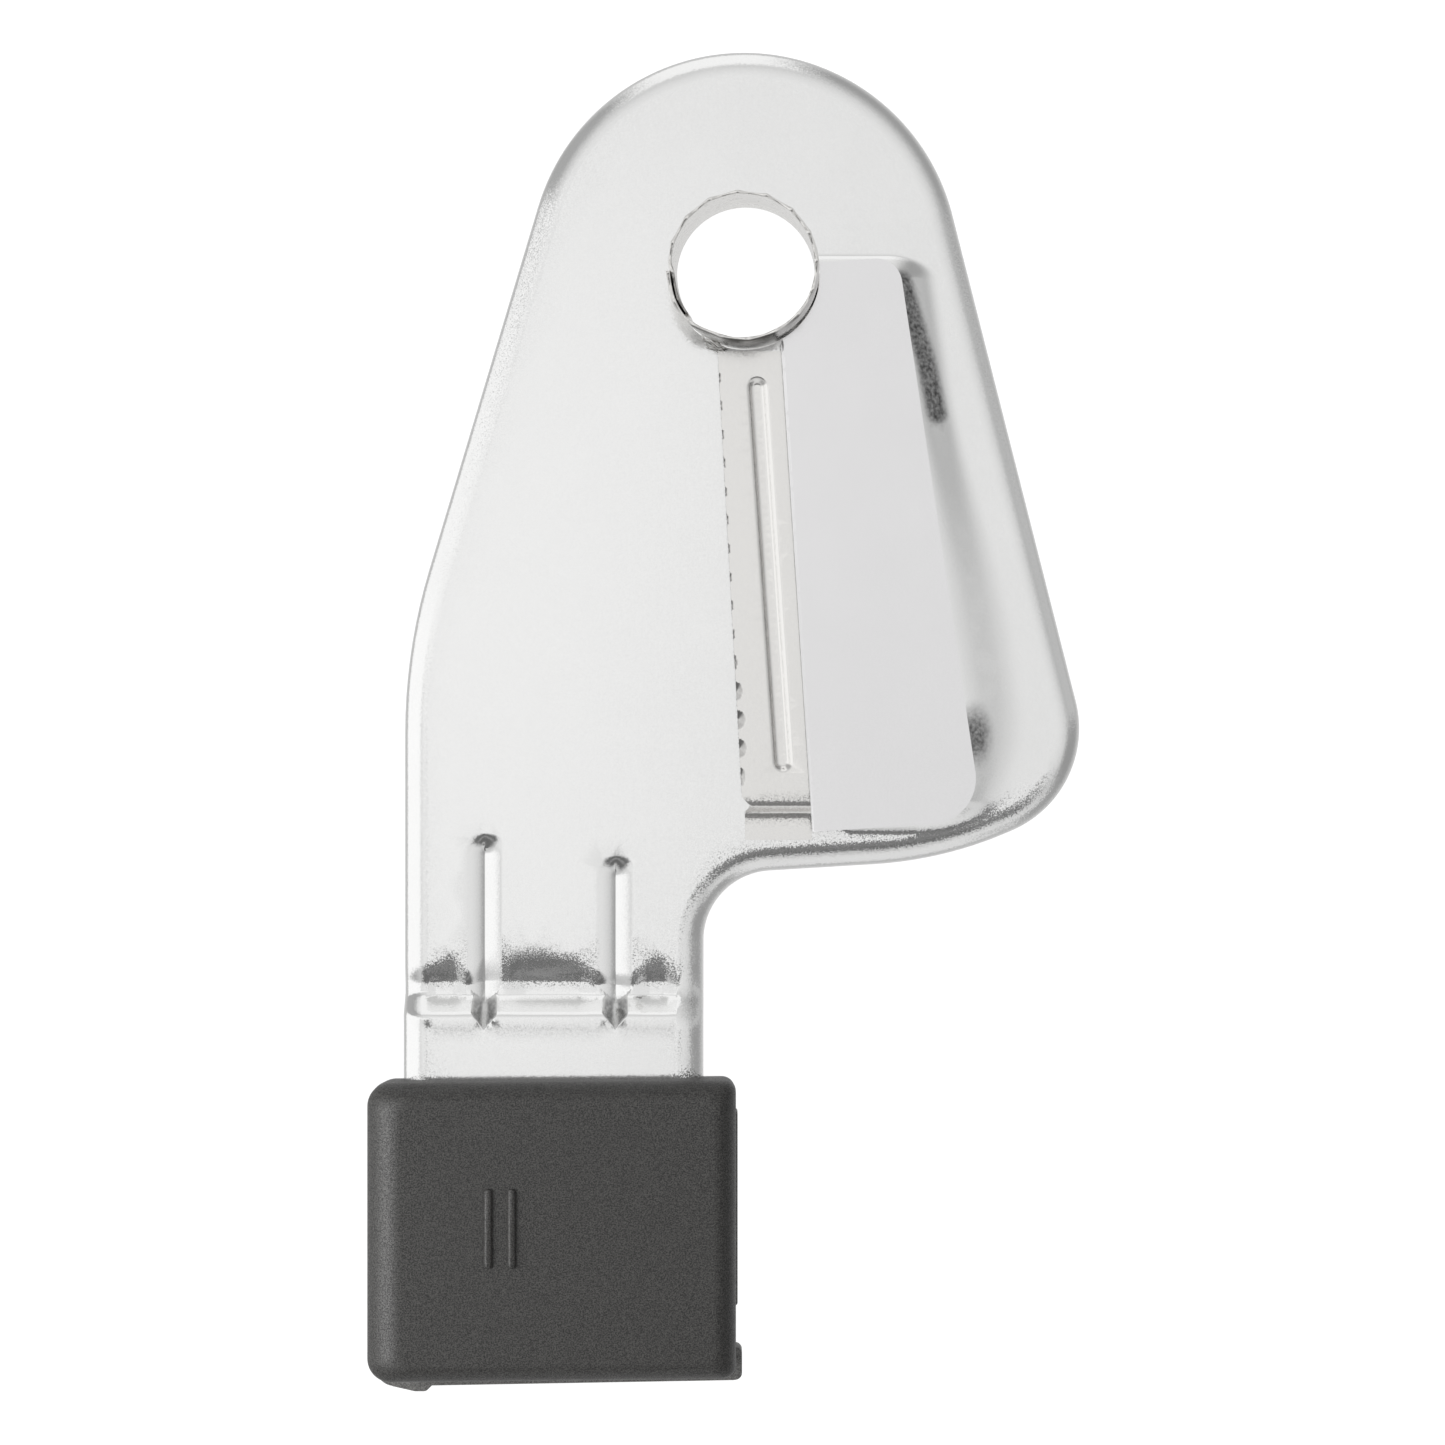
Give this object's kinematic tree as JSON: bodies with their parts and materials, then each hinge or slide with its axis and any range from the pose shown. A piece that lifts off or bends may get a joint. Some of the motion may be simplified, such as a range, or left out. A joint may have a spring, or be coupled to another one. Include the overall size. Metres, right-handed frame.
{
  "type": "spiral cutter blade insert",
  "caption": "Pressed steel carrier plate with a serrated coring ring, a comb blade, a flat slicing blade and a moulded foot.",
  "frame": {"origin": "on the surface it lies on, under the middle of its bounding box", "axes": "+X to the right seen from the food side, +Y from the foot to the round end, +Z out of the front face towards the food"},
  "size_m": [0.0712, 0.1346, 0.015],
  "materials": {
    "pressed_steel": "bright cold-rolled sheet, mottled where it is drawn round the rim",
    "ring_steel": "thin strip, ground on its scalloped front edge",
    "comb_steel": "fine-grained strip",
    "blade_steel": "smooth flat blade steel",
    "black_plastic": "fine spark-eroded texture",
    "rear_plastic": "fine spark-eroded texture"
  },
  "bodies": {
    "root": {"carrier_plate": "pressed_steel", "coring_ring": "ring_steel", "comb_blade": "comb_steel", "slicing_blade": "blade_steel", "handle_front": "black_plastic", "handle_rear": "rear_plastic"}
  },
  "joints": []
}
